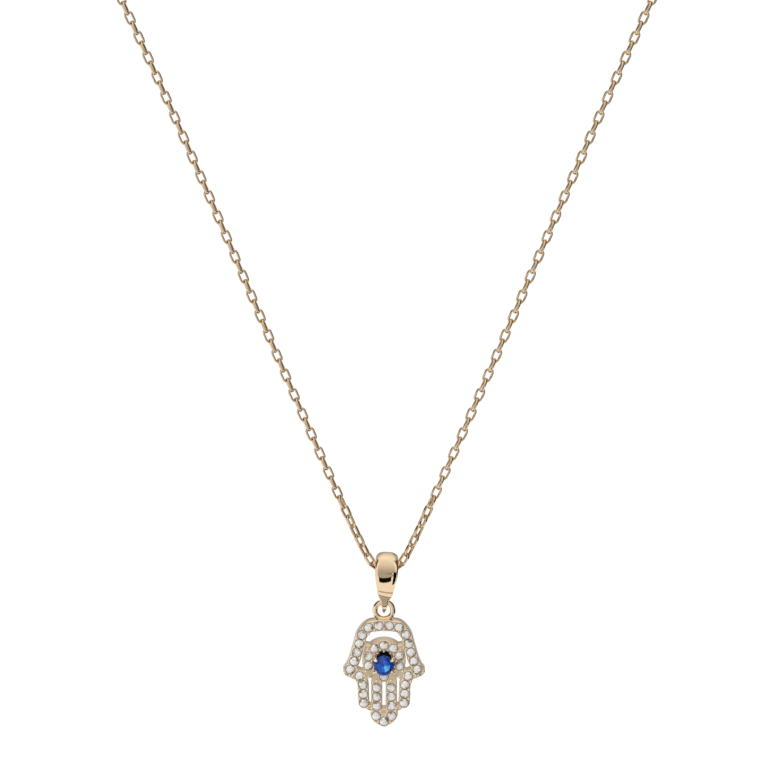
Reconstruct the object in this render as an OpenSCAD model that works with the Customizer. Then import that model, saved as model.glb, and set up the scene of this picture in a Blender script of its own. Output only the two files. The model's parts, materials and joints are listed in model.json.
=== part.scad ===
// Hamsa pendant on a fine cable chain. An open hand, set with small white stones and with a
// blue stone in its eye, hangs by its soldered ring in a tapered bail that slides on the chain.
// Millimetres, Z up, the hand faces -Y. The origin lies at the nape, under the clasp.

/* [Stones] */
// Diameter of the small white stones
stone_d = 0.96; // [0.94:0.01:1.10]
// Space between neighbouring white stones in a row
stone_gap = 0.09; // [0.07:0.01:0.20]
// Clearance between a stone and its seat
seat_gap = 0.03; // [0.02:0.005:0.04]
// Diameter of the blue stone in the eye
eye_stone_d = 2.30; // [2.00:0.05:2.30]
// Distance of the blue stone's girdle in front of the hand's face
eye_stone_lift = 0.70; // [0.60:0.05:0.90]
// Distance of the blue stone below the middle of the eye
eye_stone_drop = 0.34; // [0.20:0.02:0.40]

/* [Hand] */
// Thickness of the hand from front to back
hand_t = 1.60; // [1.20:0.05:2.40]
// Metal outside the seats along the edge of a row
rim = 0.12; // [0.07:0.01:0.15]
// Diameter of the holes behind the white stones
back_hole_d = 0.40; // [0.20:0.05:0.50]
// Diameter of the grains that hold the white stones
grain_d = 0.26; // [0.20:0.01:0.28]
// Diameter of the four claws round the blue stone
claw_d = 0.32; // [0.24:0.02:0.36]
// Diameter of the round wire under the blue stone
gallery_wire_d = 0.28; // [0.20:0.02:0.32]
// Thickness of the plate behind the blue stone, at the hand's back
eye_plate_t = 0.45; // [0.30:0.05:0.60]
// Diameter of the hole in that plate
eye_plate_hole_d = 1.20; // [0.80:0.10:1.40]

/* [Ring] */
// Diameter of the ring's wire
ring_wire_d = 0.60; // [0.40:0.05:0.70]
// Inner diameter of the ring
ring_inner_d = 1.40; // [1.30:0.05:1.80]
// Depth to which the ring is soldered into the hand's top edge
ring_solder = 0.32; // [0.20:0.02:0.45]

/* [Bail] */
// Width of the bail at the chain
bail_w = 2.55; // [2.00:0.05:3.00]
// Wall of the bail at the chain
bail_wall = 0.50; // [0.35:0.05:0.60]
// Inner diameter of the bail round the chain
bail_eye_d = 2.45; // [2.20:0.05:2.80]
// Radius of the bail's domed outer face
bail_dome = 4.00; // [3.60:0.20:8.00]
// Distance from the chain in the bail to the middle of the ring
bail_drop = 5.00; // [4.50:0.10:6.50]
// Space between the ring's wire and the bail's lower end
ring_play = 0.20; // [0.15:0.01:0.25]
// Metal of the bail's tip under the ring's wire
bail_tip = 0.55; // [0.45:0.05:0.60]
// Sideways lean of the bail on the chain, in degrees
bail_lean = 3.5; // [0:0.5:6]

/* [Chain] */
// Distance from one link to the next
link_pitch = 1.22; // [1.10:0.02:1.60]
// Outer width of a link
link_w = 0.98; // [0.90:0.02:1.10]
// Diameter of the chain's wire
wire_d = 0.22; // [0.18:0.01:0.24]
// Space between one link's wire and the next link's wire
link_gap = 0.15; // [0.13:0.01:0.20]
// Links in each side of the front, from the bail up
front_links = 60; // [40:1:66]
// Distance of the lowest link below the middle of the bail's eye
chain_sag = 0.30; // [0.20:0.02:0.40]

/* [Neck] */
// Distance from the nape to the front of the chain
neck_depth = 84; // [70:1:100]
// Height of the nape above the middle of the bail's eye
neck_drop = 150; // [130:1:170]

/* [Clasp] */
// Length of the clasp's round body
clasp_len = 7.0; // [5.0:0.5:10.0]
// Diameter of the clasp's round body
clasp_d = 2.2; // [1.8:0.1:3.0]
// Diameter of the wire of the clasp's end eyes
clasp_wire_d = 0.36; // [0.30:0.02:0.44]
// Inner diameter of the clasp's end eyes
clasp_eye_d = 0.90; // [0.80:0.05:1.20]

/* [Hidden] */
white_count = 39;
function stone_name(i) = str("white_stone_", i < 10 ? "0" : "", i);
$fn = 48;

gold = [0.85, 0.68, 0.45];
white = [0.93, 0.94, 0.96];
blue = [0.12, 0.30, 0.75];
eps = 0.01;

// The rows are laid out in pitches, each a stone and the space to its neighbour.
pitch = stone_d + stone_gap;
seat_r = stone_d / 2 + seat_gap;
row_r = seat_r + rim;
face_y = -hand_t / 2;

// Stones of the right half in pitches from the middle of the eye: [across, up].
arch_row = [[0.55, 3.90], [1.63, 3.70], [2.33, 2.90], [2.63, 1.93], [2.90, 0.96],
    [3.18, -0.02], [3.59, -0.93]];
finger_row = [[2.61, -1.65], [2.25, -2.64], [2.21, -3.64], [2.16, -4.65]];
inner_row = [[0.78, -2.94], [0.78, -3.96], [0.79, -4.98], [0.82, -6.10]];
tip_stone = [0, -6.70];
thumb_tip = [3.78, -1.10];
// Stones round the eye, by their angle from the top.
eye_turns = [-108, -72, -36, 0, 36, 72, 108, 180];
eye_ring_r = 1.72 * pitch;
eye_hole_r = eye_ring_r - row_r;
// Bands of metal that join the rows, in pitches: [from, to, half-width as a share of row_r].
webs = [[[1.55, 1.45], [2.62, 1.60], 0.55], [[1.43, -1.29], [2.61, -1.65], 0.85],
    [[3.59, -0.93], thumb_tip, 1.0], [thumb_tip, [2.61, -1.65], 1.0],
    [[2.10, -4.85], [1.50, -5.22], 0.47], [[1.50, -5.22], [0.82, -5.22], 0.47],
    [[0.78, -1.80], [0.78, -2.94], 1.0], [[0.80, -5.85], [0, -5.85], 0.75],
    [[0, -5.85], tip_stone, 1.0]];
// Grains beyond the ends of the rows, in pitches.
end_grains = [[0.36, -2.40], [1.20, -2.40], [1.72, -5.16], [2.42, -5.24], [4.16, -1.20],
    [3.68, -1.56], [1.62, -1.76]];
grain_off = 0.43;

// Cut of the stones, as shares of the diameter.
table_share = 0.57;
crown_share = 0.16;
girdle_share = 0.06;
pavilion_share = 0.42;
eye_stone_z = -eye_stone_drop;

// Claws round the blue stone, by their angle from the right.
claw_turns = [38, 142, -34, -146];
claw_r = eye_stone_d / 2 + seat_gap + claw_d / 2;
claw_tip_d = claw_d * 1.12;
gallery_r = claw_r - claw_d / 2 - gallery_wire_d / 3;

// The ring stands on the hand's top edge, and its middle is the axis on which the hand swings.
ring_mid_r = (ring_inner_d + ring_wire_d) / 2;
hand_top_z = arch_row[0][1] * pitch + row_r;
ring_over_eye = hand_top_z + ring_mid_r + ring_wire_d / 2 - ring_solder;
bail_y = -neck_depth;
bail_z = -neck_drop;
ring_x = -bail_drop * sin(bail_lean);
ring_z = bail_z - bail_drop * cos(bail_lean);

// Side view of the bail: a large round over a small one.
bail_top_r = bail_eye_d / 2 + bail_wall;
seat_depth = bail_drop - ring_mid_r;
ring_seat_r = ring_wire_d / 2 + ring_play;
bail_low_r = ring_seat_r + bail_wall * 0.9;
bail_low_depth = seat_depth + ring_seat_r + bail_tip - bail_low_r;
// Front view of the bail's upper part, in shares of its top radius and its half-width.
shoulder = [[1.00, 0.42], [0.93, 0.66], [0.82, 0.84], [0.64, 0.94], [0.32, 1.00]];
// Front view below the chain, in shares of the length to the tip and the half-width.
taper = [[0.08, 1.00], [0.15, 0.97], [0.24, 0.91], [0.33, 0.84], [0.43, 0.76], [0.52, 0.70],
    [0.58, 0.65], [0.63, 0.60], [0.67, 0.53], [0.70, 0.44], [0.73, 0.35], [0.82, 0.30], [0.88, 0.23],
    [0.94, 0.14], [1.00, 0.04]];
bail_len = bail_low_depth + bail_low_r;

// Heading of the chain by link, counted up from the bail, in degrees above level.
headings = [[0, 0], [1, 28], [2, 52], [3, 62], [4, 65], [6, 66], [15, 67], [30, 67.8], [45, 67.2],
    [60, 65.6]];
// Roll of the links, in degrees, by link on the right side and on the left side.
right_rolls = [[0, 45], [7, 45], [12, 0], [60, 0]];
left_rolls = [[0, 45], [7, 45], [12, 0], [50, 0], [55, 45], [60, 45]];
bend_r = (link_w - wire_d) / 2;
link_leg = link_pitch + wire_d + link_gap - 2 * bend_r;
chain_low_z = bail_z - chain_sag;
// Joints between the links of one side: [across, up] from the lowest link's middle.
function link_step(k) = link_pitch * [cos(lookup(k, headings)), sin(lookup(k, headings))];
joints = [for (k = 0, p = [link_pitch / 2, 0]; k <= front_links; p = p + link_step(k + 1), k = k + 1) p];
top_joint = joints[front_links];
top_heading = lookup(front_links, headings);

// Hidden stretch of the chain, right side, from the front over the shoulder to the nape.
chain_points = [[38, -81, -66], [45, -74, -48], [50, -62, -30], [50, -46, -16], [44, -28, -7],
    [32, -13, -2], [16, -3, 1]];
back_start = [top_joint[0], bail_y, chain_low_z + top_joint[1]]
    + (wire_d + 2 * link_gap) * [cos(top_heading), 0, sin(top_heading)];
clasp_eye_x = clasp_len / 2 + clasp_eye_d / 2;
back_end = [clasp_eye_x + clasp_eye_d / 2 + clasp_wire_d + link_gap, 0, clasp_d / 2];
back_route = concat([back_start], chain_points, [back_end]);
back_sides = 8;
ring_steps = 5;
sweep_up = [0, -0.6, 0.8];

// Small helpers.
function unit(v) = v / norm(v);
function turned(v) = [-v[1], v[0]];
function flip(p) = [-p[0], p[1]];
function on_eye(turn, r) = r * [sin(turn), cos(turn)];

// Smooth curve through points: a point at share t between p[i] and p[i + 1], and the whole line.
function end_point(p, i) = i < 0 ? 2 * p[0] - p[1]
    : i >= len(p) ? 2 * p[len(p) - 1] - p[len(p) - 2] : p[i];
function smooth_point(p, i, t) = let (a = end_point(p, i - 1), b = p[i], c = p[i + 1],
    d = end_point(p, i + 2)) b + t / 2 * ((c - a) + t * ((2 * a - 5 * b + 4 * c - d)
    + t * (3 * (b - c) + d - a)));
function smooth_route(p) = concat([for (i = [0:len(p) - 2]) for (s = [0:ring_steps - 1])
    smooth_point(p, i, s / ring_steps)], [p[len(p) - 1]]);

// White stones: the right half, the left half, the tip and the eye, in millimetres.
half_stones = [for (p = concat(arch_row, finger_row, inner_row)) p * pitch];
stones = concat(half_stones, [for (p = half_stones) flip(p)], [tip_stone * pitch],
    [for (turn = eye_turns) on_eye(turn, eye_ring_r)]);

// Grains stand in pairs beside the point midway between two stones.
function grains_between(a, b) = let (mid = (a + b) / 2, side = turned(unit(b - a)) * grain_off)
    [mid + side, mid - side];
function grains_along(row) = [for (i = [0:len(row) - 2]) each grains_between(row[i], row[i + 1])];
half_grains = concat(grains_along(concat(arch_row, finger_row)),
    grains_along(concat(inner_row, [tip_stone])), end_grains);
eye_grains = [for (i = [0:5]) each let (turn = (eye_turns[i] + eye_turns[i + 1]) / 2)
    [on_eye(turn, eye_ring_r + grain_off * pitch), on_eye(turn, eye_ring_r - grain_off * pitch)]];
grains = concat([for (p = half_grains) p * pitch], [for (p = half_grains) flip(p) * pitch],
    [for (p = grains_between(arch_row[0], flip(arch_row[0]))) p * pitch], eye_grains);

// A band of metal between two points, with round ends.
module band(a, b, r) {
    translate(a) circle(r);
    translate(b) circle(r);
    translate(a) rotate(atan2(b[1] - a[1], b[0] - a[0])) translate([0, -r]) square([norm(b - a), 2 * r]);
}

// A band of metal along a smooth line through the stones of a row, with round ends.
module row_band(row) {
    line = smooth_route([for (p = row) p * pitch]);
    last = len(line) - 1;
    sides = [for (i = [0:last]) row_r * turned(unit(line[min(i + 1, last)] - line[max(i - 1, 0)]))];
    polygon(concat([for (i = [0:last]) line[i] + sides[i]],
        [for (i = [last:-1:0]) line[i] - sides[i]]));
    for (i = [0, last]) translate(line[i]) circle(row_r);
}

module half_outline() {
    row_band(finger_row);
    row_band(concat(inner_row, [tip_stone]));
    for (w = webs) band(w[0] * pitch, w[1] * pitch, w[2] * row_r);
}

// Front view of the hand with its openings.
module hand_outline() {
    difference() {
        union() {
            row_band(concat([for (i = [len(arch_row) - 1:-1:0]) flip(arch_row[i])], arch_row));
            half_outline();
            mirror([1, 0]) half_outline();
            circle(eye_ring_r + row_r);
        }
        circle(eye_hole_r);
    }
}

// Space for a white stone: straight at the girdle, a cone under it and a hole to the back.
module seat() {
    low = girdle_share * stone_d / 2 + seat_gap;
    slope = (pavilion_share - girdle_share / 2) * 2;
    cone_end = -low - (seat_r - back_hole_d / 2) * slope;
    rotate([90, 0, 0]) rotate_extrude() polygon([[0, hand_t], [seat_r, hand_t], [seat_r, -low],
        [back_hole_d / 2, cone_end], [back_hole_d / 2, -hand_t - eps], [0, -hand_t - eps]]);
}

// A round brilliant stone, table up, with the middle of its girdle at the origin.
module gem(d) {
    half_girdle = girdle_share * d / 2;
    points = concat(
        [for (i = [0:7]) [table_share * d / 2 * cos(45 * i), table_share * d / 2 * sin(45 * i),
            crown_share * d]],
        [for (j = [0:15]) [d / 2 * cos(22.5 * j), d / 2 * sin(22.5 * j), half_girdle]],
        [for (j = [0:15]) [d / 2 * cos(22.5 * j), d / 2 * sin(22.5 * j), -half_girdle]],
        [[0, 0, -pavilion_share * d]]);
    crown = [for (i = [0:7]) each let (j = 2 * i, t = (i + 1) % 8) [[i, 9 + j, 8 + j],
        [i, t, 9 + j], [t, 8 + (j + 2) % 16, 9 + j]]];
    girdle = [for (j = [0:15]) let (n = (j + 1) % 16) [8 + j, 8 + n, 24 + n, 24 + j]];
    pavilion = [for (j = [0:15]) [24 + j, 24 + (j + 1) % 16, 40]];
    polyhedron(points, concat([[7, 6, 5, 4, 3, 2, 1, 0]], crown, girdle, pavilion));
}

// Puts children from the hand's own frame, with the eye's middle at the origin, in their place.
module in_hand() {
    translate([ring_x, bail_y, ring_z - ring_over_eye]) children();
}

// Puts children from the bail's own frame, with the chain at the origin, in their place.
module in_bail() {
    translate([0, bail_y, bail_z]) rotate([0, bail_lean, 0]) children();
}

module ring() {
    translate([0, 0, ring_over_eye]) rotate([90, 0, 0])
        rotate_extrude() translate([ring_mid_r, 0]) circle(d = ring_wire_d);
}

// Plate that closes the eye behind the blue stone.
module eye_plate() {
    translate([0, hand_t / 2, 0]) rotate([90, 0, 0]) linear_extrude(eye_plate_t) difference() {
        circle(eye_hole_r + rim / 2);
        translate([0, eye_stone_z]) circle(d = eye_plate_hole_d);
    }
}

// Claws and the wire under the blue stone.
module eye_setting() {
    for (turn = claw_turns) {
        foot = [claw_r * cos(turn), 0, eye_stone_z + claw_r * sin(turn)];
        translate(foot) rotate([90, 0, 0]) cylinder(h = hand_t / 2 + eye_stone_lift, d = claw_d);
        translate([foot[0], face_y - eye_stone_lift, foot[2]]) rotate([90, 0, 0])
            rotate([0, 0, turn]) translate([-claw_d * 0.25, 0, claw_d * 0.42]) sphere(d = claw_tip_d);
    }
    translate([0, face_y - eye_stone_lift / 2, eye_stone_z]) rotate([90, 0, 0])
        rotate_extrude() translate([gallery_r, 0]) circle(d = gallery_wire_d);
}

// The hand with its ring, grains and claws: one soldered piece of metal.
module hamsa_frame() {
    color(gold) in_hand() {
        difference() {
            rotate([90, 0, 0]) linear_extrude(hand_t, center = true) hand_outline();
            for (p = stones) translate([p[0], face_y, p[1]]) seat();
        }
        for (p = grains) translate([p[0], face_y, p[1]]) sphere(d = grain_d);
        ring();
        eye_plate();
        eye_setting();
    }
}

module white_stone(i) {
    p = stones[i - 1];
    color(white) in_hand() translate([p[0], face_y, p[1]]) rotate([90, 0, 0]) gem(stone_d);
}

module blue_stone() {
    color(blue) in_hand() translate([0, face_y - eye_stone_lift, eye_stone_z])
        rotate([90, 0, 0]) gem(eye_stone_d);
}

// Half of the bail's cross-section from the middle out, domed on its outer side.
module bail_section(r) {
    intersection() {
        translate([0, -bail_w / 2]) square([r + eps, bail_w]);
        translate([r - bail_dome, 0]) circle(bail_dome, $fn = 240);
    }
}

// Outer form of the bail before its width is cut: two rounds joined by flat flanks.
module bail_body() {
    tilt = asin((bail_top_r - bail_low_r) / bail_low_depth);
    flank = bail_low_depth * cos(tilt);
    rotate([0, 90, 0]) rotate_extrude($fn = 96) bail_section(bail_top_r);
    translate([0, 0, -bail_low_depth]) rotate([0, 90, 0]) rotate_extrude($fn = 96)
        bail_section(bail_low_r);
    for (side = [0, 180]) rotate([0, 0, side]) rotate([tilt, 0, 0]) rotate([0, 0, -90])
        translate([0, 0, -flank]) linear_extrude(flank) bail_section(bail_top_r);
}

// Opening of the bail: round at the chain and round at the ring, with straight sides.
module bail_opening() {
    top_r = bail_eye_d / 2;
    tilt = asin((top_r - ring_seat_r) / seat_depth);
    rotate([90, 0, 90]) linear_extrude(2 * bail_w, center = true) {
        circle(top_r, $fn = 96);
        translate([0, -seat_depth]) circle(ring_seat_r, $fn = 96);
        polygon([[top_r * cos(tilt), -top_r * sin(tilt)],
            [ring_seat_r * cos(tilt), -seat_depth - ring_seat_r * sin(tilt)],
            [-ring_seat_r * cos(tilt), -seat_depth - ring_seat_r * sin(tilt)],
            [-top_r * cos(tilt), -top_r * sin(tilt)]]);
    }
}

module bail_outline() {
    side = concat([for (s = shoulder) [s[1] * bail_w / 2, s[0] * (bail_top_r + eps)]],
        [for (t = taper) [t[1] * bail_w / 2, -t[0] * (bail_len + eps)]]);
    polygon(concat(side, [for (i = [len(side) - 1:-1:0]) flip(side[i])]));
}

module bail() {
    color(gold) in_bail() difference() {
        intersection() {
            bail_body();
            rotate([90, 0, 0]) linear_extrude(4 * bail_top_r, center = true) bail_outline();
        }
        bail_opening();
    }
}

// One oval link of round wire along X, seen open from -Y.
module link() {
    rotate([90, 0, 0]) for (side = [0, 180]) rotate([0, 0, side]) {
        translate([link_leg / 2, 0]) rotate([0, 0, -90])
            rotate_extrude(angle = 180) translate([bend_r, 0]) circle(d = wire_d, $fn = 16);
        translate([-link_leg / 2, bend_r, 0]) rotate([0, 90, 0])
            cylinder(h = link_leg, d = wire_d, $fn = 16);
    }
}

// The links that the pendant hangs on, through the bail and up both sides.
module chain_front() {
    color(gold) translate([0, bail_y, chain_low_z]) {
        rotate([45, 0, 0]) link();
        for (k = [1:front_links]) {
            mid = (joints[k - 1] + joints[k]) / 2;
            heading = lookup(k, headings);
            turn = 90 * (k % 2);
            translate([mid[0], 0, mid[1]]) rotate([0, -heading, 0])
                rotate([turn + lookup(k, right_rolls), 0, 0]) link();
            translate([-mid[0], 0, mid[1]]) rotate([0, heading, 0])
                rotate([turn + lookup(k, left_rolls), 0, 0]) link();
        }
    }
}

// A round tube along a route, closed at both ends.
module tube(route, r, sides) {
    last = len(route) - 1;
    rings = [for (i = [0:last]) let (t = unit(route[min(i + 1, last)] - route[max(i - 1, 0)]),
        u = unit(cross(sweep_up, t)), v = cross(t, u))
        for (j = [0:sides - 1]) route[i] + r * (cos(360 * j / sides) * u + sin(360 * j / sides) * v)];
    walls = [for (i = [0:last - 1]) for (j = [0:sides - 1]) let (n = (j + 1) % sides)
        [i * sides + j, (i + 1) * sides + j, (i + 1) * sides + n, i * sides + n]];
    start = [for (j = [0:sides - 1]) j];
    finish = [for (j = [sides - 1:-1:0]) last * sides + j];
    polyhedron(rings, concat(walls, [start, finish]));
}

// The hidden stretch of the chain, both sides, as thick as its links.
module chain_back() {
    color(gold) for (side = [0, 1]) mirror([side, 0, 0])
        tube(smooth_route(back_route), link_w / 2, back_sides);
}

module clasp() {
    color(gold) translate([0, 0, clasp_d / 2]) {
        rotate([0, 90, 0]) cylinder(h = clasp_len - clasp_d, d = clasp_d, center = true);
        for (side = [-1, 1]) {
            translate([side * (clasp_len - clasp_d) / 2, 0, 0]) sphere(d = clasp_d);
            translate([side * clasp_eye_x, 0, 0]) rotate([90, 0, 0]) rotate_extrude()
                translate([(clasp_eye_d + clasp_wire_d) / 2, 0]) circle(d = clasp_wire_d, $fn = 16);
        }
    }
}

hamsa_frame();
bail();
blue_stone();
chain_front();
chain_back();
clasp();
for (i = [1:white_count]) white_stone(i);
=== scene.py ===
"""Finished look of a hamsa pendant on its fine cable chain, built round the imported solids."""
import json
import logging
import math
from dataclasses import dataclass, field
from enum import Enum

import bmesh
import bpy
import numpy as np
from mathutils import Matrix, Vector
from numpy.typing import NDArray

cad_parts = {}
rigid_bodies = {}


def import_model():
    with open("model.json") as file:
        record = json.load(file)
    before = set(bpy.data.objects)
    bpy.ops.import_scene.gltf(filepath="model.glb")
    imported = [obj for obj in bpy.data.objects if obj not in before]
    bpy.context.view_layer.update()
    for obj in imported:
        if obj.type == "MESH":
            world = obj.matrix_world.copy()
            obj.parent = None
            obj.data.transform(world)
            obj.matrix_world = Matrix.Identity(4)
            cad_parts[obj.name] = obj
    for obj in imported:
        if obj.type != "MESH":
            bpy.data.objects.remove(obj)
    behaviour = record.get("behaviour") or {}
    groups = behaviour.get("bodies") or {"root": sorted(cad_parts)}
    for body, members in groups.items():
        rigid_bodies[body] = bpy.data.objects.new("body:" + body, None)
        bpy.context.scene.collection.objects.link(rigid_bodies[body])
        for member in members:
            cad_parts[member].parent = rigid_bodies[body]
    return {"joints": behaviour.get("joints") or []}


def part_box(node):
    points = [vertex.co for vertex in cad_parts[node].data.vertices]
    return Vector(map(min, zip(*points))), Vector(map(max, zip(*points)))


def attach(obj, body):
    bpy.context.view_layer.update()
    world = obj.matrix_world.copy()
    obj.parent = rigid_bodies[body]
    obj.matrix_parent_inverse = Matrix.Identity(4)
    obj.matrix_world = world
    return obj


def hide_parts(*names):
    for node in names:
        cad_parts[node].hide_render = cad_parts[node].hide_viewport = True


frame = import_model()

Array = NDArray[np.float64]
Faces = NDArray[np.int64]
Colour = tuple[float, float, float]
Marks = tuple[tuple[float, float], ...]
MM = 0.001
MERGE = 1e-8
TONE = "painted_facet_light"
log = logging.getLogger("hamsa")


class Slot(Enum):
    """The record's material slots."""

    GOLD = "gold"
    WHITE = "white_stone"
    BLUE = "blue_stone"


class Body(Enum):
    """The bodies that move against each other."""

    CHAIN = "chain"
    BAIL = "bail"
    HAMSA = "hamsa"


def corners(node: str) -> tuple[Array, Array]:
    """Lowest and highest corner of a solid.

    Args:
        node: name of the solid.

    Returns:
        Two points in metres.
    """
    low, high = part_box(node)
    return np.array(low, float), np.array(high, float)


def joint_place(name: str) -> Array:
    """Point on a joint's axis.

    Args:
        name: name of the joint.

    Returns:
        The point in metres.
    """
    return next(np.array(j["pos_m"], float) for j in frame["joints"] if j["name"] == name)


def unit(vectors: Array) -> Array:
    """Vectors divided by their lengths."""
    return vectors / np.linalg.norm(vectors, axis=-1, keepdims=True)


def turn_about(axis: int, angle: Array | float) -> Array:
    """Rotation matrices about a main axis by the right-hand rule.

    Args:
        axis: 0, 1 or 2 for X, Y or Z.
        angle: one angle or an array of angles in radians.

    Returns:
        Matrices of shape (..., 3, 3).
    """
    angle = np.asarray(angle, float)
    matrix = np.zeros(angle.shape + (3, 3))
    i, j = (axis + 1) % 3, (axis + 2) % 3
    matrix[..., axis, axis] = 1.0
    matrix[..., i, i] = matrix[..., j, j] = np.cos(angle)
    matrix[..., j, i] = np.sin(angle)
    matrix[..., i, j] = -np.sin(angle)
    return matrix


def grid_faces(rows: int, cols: int, close_rows: bool, close_cols: bool) -> Faces:
    """Quads of a grid whose point (i, j) has index i * cols + j.

    Args:
        rows: points along the first parameter.
        cols: points along the second parameter.
        close_rows: whether the last row joins the first.
        close_cols: whether the last column joins the first.

    Returns:
        An array of shape (faces, 4).
    """
    i = np.arange(rows if close_rows else rows - 1)[:, None]
    j = np.arange(cols if close_cols else cols - 1)[None, :]
    down, right = (i + 1) % rows, (j + 1) % cols
    quads = [i * cols + j, down * cols + j, down * cols + right, i * cols + right]
    return np.stack(np.broadcast_arrays(*quads), -1).reshape(-1, 4)


def smooth_line(points: Array, steps: int) -> Array:
    """Smooth line through points: between two points it is the cubic whose slope at each of
    them is half the step from the point before to the point after.

    Args:
        points: points of any dimension, one a row.
        steps: parts that each stretch is cut into.

    Returns:
        The points of the line, the last one included.
    """
    padded = np.vstack([2 * points[0] - points[1], points, 2 * points[-1] - points[-2]])
    a, b, c, d = padded[:-3, None], padded[1:-2, None], padded[2:-1, None], padded[3:, None]
    t = (np.arange(steps) / steps)[None, :, None]
    line = b + t / 2 * ((c - a) + t * ((2 * a - 5 * b + 4 * c - d) + t * (3 * (b - c) + d - a)))
    return np.vstack([line.reshape(-1, points.shape[1]), points[-1:]])


def copies(shape: Array, faces: Faces, places: Array, turns: Array | None = None) -> tuple[Array, Faces]:
    """Copies of one shape at many places, as one set of points and faces.

    Args:
        shape: points of the shape.
        faces: its faces.
        places: where each copy's origin goes.
        turns: a rotation matrix for each copy, or None.

    Returns:
        The points and faces of all copies.
    """
    count = len(places)
    moved = np.broadcast_to(shape, (count,) + shape.shape)
    if turns is not None:
        moved = np.einsum("nij,npj->npi", turns, moved)
    points = (moved + places[:, None]).reshape(-1, 3)
    shift = np.arange(count)[:, None, None] * len(shape)
    return points, (faces[None] + shift).reshape(-1, faces.shape[1])


def joined(parts: list[tuple[Array, Faces]]) -> tuple[Array, Faces]:
    """Several shapes of quads as one set of points and faces.

    Args:
        parts: points and faces of each shape.

    Returns:
        All their points and all their faces.
    """
    starts = np.cumsum([0] + [len(points) for points, _ in parts[:-1]])
    return (np.vstack([points for points, _ in parts]),
            np.vstack([faces + start for (_, faces), start in zip(parts, starts)]))


def full_turn(steps: int) -> Array:
    """Angles of a full turn in equal steps, without the last one, which is the first again."""
    return np.linspace(0.0, 2 * math.pi, steps, endpoint=False)


def circle(middle: Array | tuple[float, float], radius: float, steps: int) -> Array:
    """Points on a circle in a plane, from the right round to the left and back."""
    t = full_turn(steps)
    return np.asarray(middle) + radius * np.stack([np.cos(t), np.sin(t)], -1)


def quarter(radius: float, steps: int) -> tuple[Array, Array]:
    """Rounded edge: how far a quarter circle of this radius lies inside each of the two faces
    that it joins, r - r sin t and r - r cos t.

    Args:
        radius: the edge's radius.
        steps: parts that the quarter is cut into.

    Returns:
        The distances from the side wall and from the front face.
    """
    t = np.linspace(0.0, math.pi / 2, steps + 1)
    return radius * (1 - np.sin(t)), radius * (1 - np.cos(t))


def grid_points(x: Array | float, y: Array | float, z: Array | float) -> Array:
    """Points of a grid from their coordinates, each an array that broadcasts to the grid."""
    return np.stack(np.broadcast_arrays(x, y, z), -1).reshape(-1, 3)


def new_mesh(name: str, points: Array, faces: Faces | list, smooth: bool) -> bpy.types.Object:
    """Closed mesh object from arrays: poles become single points, open ends are capped and all
    faces look outwards.

    Args:
        name: name of the object.
        points: points in metres.
        faces: an array of equal faces, or a list of faces of any size.
        smooth: whether the shading is smooth.

    Returns:
        The new object, linked to the scene.
    """
    mesh = bpy.data.meshes.new(name)
    mesh.from_pydata(points, [], faces if isinstance(faces, list) else faces.tolist())
    work = bmesh.new()
    work.from_mesh(mesh)
    bmesh.ops.remove_doubles(work, verts=work.verts, dist=MERGE)
    bmesh.ops.holes_fill(work, edges=[edge for edge in work.edges if edge.is_boundary])
    bmesh.ops.recalc_face_normals(work, faces=work.faces)
    work.to_mesh(mesh)
    work.free()
    mesh.polygons.foreach_set("use_smooth", np.full(len(mesh.polygons), smooth))
    piece = bpy.data.objects.new(name, mesh)
    bpy.context.scene.collection.objects.link(piece)
    return piece


def settle(piece: bpy.types.Object, body: Body, slot: Slot, material: bpy.types.Material,
           *nodes: str) -> bpy.types.Object:
    """Gives a piece its body and material, and hides the solids that it stands for.

    Args:
        piece: the piece.
        body: the body that it moves with.
        slot: the record's slot that its finish belongs to; not used.
        material: its finish.
        nodes: names of the solids that it replaces.

    Returns:
        The piece.
    """
    piece.data.materials.clear()
    piece.data.materials.append(material)
    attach(piece, body.value)
    if nodes:
        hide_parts(*nodes)
    log.info("%s: %d faces on %s", piece.name, len(piece.data.polygons), body.value)
    return piece


def sharpen(piece: bpy.types.Object, degrees: float) -> None:
    """Shades a piece smooth, with sharp edges where its faces turn by more than an angle."""
    piece.data.polygons.foreach_set("use_smooth", np.ones(len(piece.data.polygons), bool))
    piece.data.set_sharp_from_angle(angle=math.radians(degrees))


class NodeTree:
    """Short way to add and join a material's nodes."""

    def __init__(self, name: str) -> None:
        """Starts a material with a Principled shader.

        Args:
            name: name of the material.
        """
        self.material = bpy.data.materials.new(name)
        self.material.use_nodes = True
        self.nodes = self.material.node_tree.nodes
        self.links = self.material.node_tree.links
        self.shader = self.nodes["Principled BSDF"]

    def add(self, kind: str, **values: object) -> bpy.types.Node:
        """Adds a node and sets its properties or inputs by name.

        Args:
            kind: the node's type without the leading ShaderNode.
            values: values by name, with _ for a blank in an input's name.

        Returns:
            The node.
        """
        node = self.nodes.new("ShaderNode" + kind)
        for key, value in values.items():
            if key in node.bl_rna.properties:
                setattr(node, key, value)
            else:
                node.inputs[key.replace("_", " ")].default_value = value
        return node

    def join(self, source: bpy.types.NodeSocket, target: bpy.types.NodeSocket) -> None:
        """Links two sockets."""
        self.links.new(source, target)


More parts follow.
